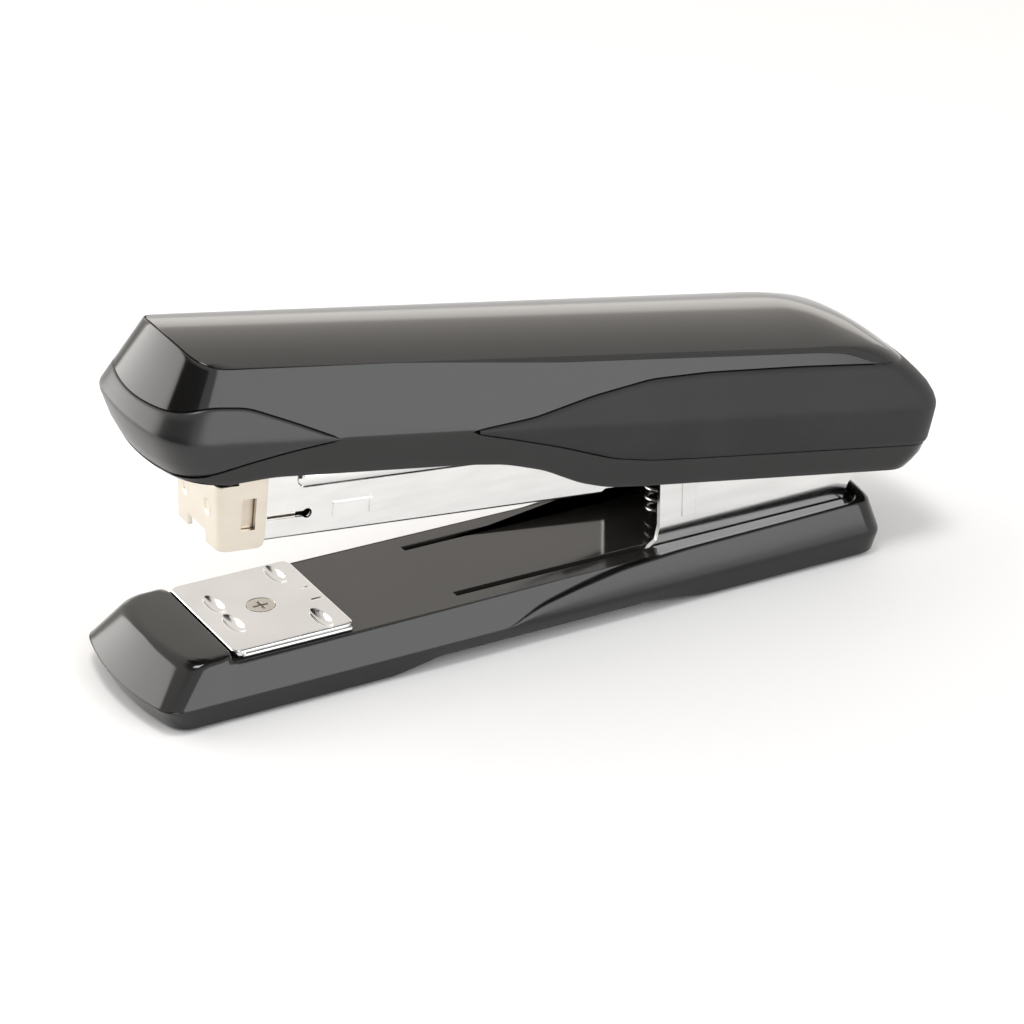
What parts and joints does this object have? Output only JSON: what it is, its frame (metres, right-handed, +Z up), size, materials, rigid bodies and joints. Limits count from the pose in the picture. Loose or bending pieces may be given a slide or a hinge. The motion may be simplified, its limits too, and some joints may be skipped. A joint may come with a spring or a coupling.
{
  "type": "desk stapler",
  "caption": "Full-strip desk stapler with black hinged handle and matt side grips, plated magazine and nose, lift-out steel clinching plate and a long polished base.",
  "frame": {"origin": "middle of the overall length and width, on the table under the rubber pads, with the stapler standing open at rest", "axes": "+X from the nose to the hinge end, +Z up, +Y across the stapler"},
  "size_m": [0.1616, 0.0356, 0.0667],
  "materials": {
    "shell_black": "glossy black injection-moulded ABS",
    "plate_black": "mirror-polished black plastic inlay",
    "grip_grey": "fine-textured matt charcoal elastomer",
    "cover_black": "plain black moulded plastic",
    "nickel": "bright nickel-plated pressed steel",
    "champagne": "warm nickel-plated pressed steel",
    "anvil_chrome": "satin chrome-plated steel",
    "zinc_steel": "zinc-plated steel",
    "spring_steel": "drawn spring steel",
    "rubber": "black rubber"
  },
  "bodies": {
    "base": {"base_shell": "shell_black", "base_plate": "plate_black", "hinge_bracket": "nickel", "bracket_screws": "zinc_steel", "hinge_pin": "zinc_steel", "return_spring": "spring_steel", "bottom_cover": "cover_black", "front_pad": "rubber", "rear_pad": "rubber", "anvil_spring": "spring_steel"},
    "anvil": {"anvil_plate": "anvil_chrome", "anvil_screw": "zinc_steel", "anvil_post": "zinc_steel"},
    "magazine": {"magazine_channel": "nickel", "staple_rail": "nickel", "nose_plate": "champagne", "pusher_rod": "zinc_steel", "rail_block": "cover_black", "pusher_spring": "spring_steel"},
    "pusher": {"pusher": "zinc_steel"},
    "guide": {"guide_channel": "nickel", "leaf_spring": "spring_steel", "leaf_rivets": "zinc_steel"},
    "handle": {"handle_shell": "shell_black", "top_panel": "shell_black", "nose_trim": "shell_black", "grip_left": "grip_grey", "grip_right": "grip_grey", "handle_frame": "zinc_steel", "frame_screws": "zinc_steel", "driver_blade": "spring_steel"}
  },
  "joints": [
    {"name": "magazine_pivot", "type": "hinge", "parent": "base", "child": "magazine", "pos_m": [0.06663, 0, 0.0238], "axis": [0, 1, 0], "range_deg": [-7.4, 0], "stiffness_Nm_per_rad": 1.5, "springref_deg": 20.05, "deforming": ["return_spring"]},
    {"name": "lid_pivot", "type": "hinge", "parent": "magazine", "child": "guide", "pos_m": [0.06663, 0, 0.0238], "axis": [0, 1, 0], "range_deg": [0, 75]},
    {"name": "handle_press", "type": "hinge", "parent": "guide", "child": "handle", "pos_m": [0.06663, 0, 0.0238], "axis": [0, 1, 0], "range_deg": [-4.1, 0], "stiffness_Nm_per_rad": 3, "springref_deg": 8.59, "deforming": ["leaf_spring"]},
    {"name": "pusher_slide", "type": "slide", "parent": "magazine", "child": "pusher", "axis": [0.9951, 0, -0.0993], "range_m": [0, 0.09], "stiffness_N_per_m": 15, "springref_m": -0.12, "deforming": ["pusher_spring"]},
    {"name": "anvil_lift", "type": "slide", "parent": "base", "child": "anvil", "axis": [0, 0, 1], "range_m": [0, 0.0025], "stiffness_N_per_m": 800, "springref_m": -0.004, "deforming": ["anvil_spring"]}
  ]
}
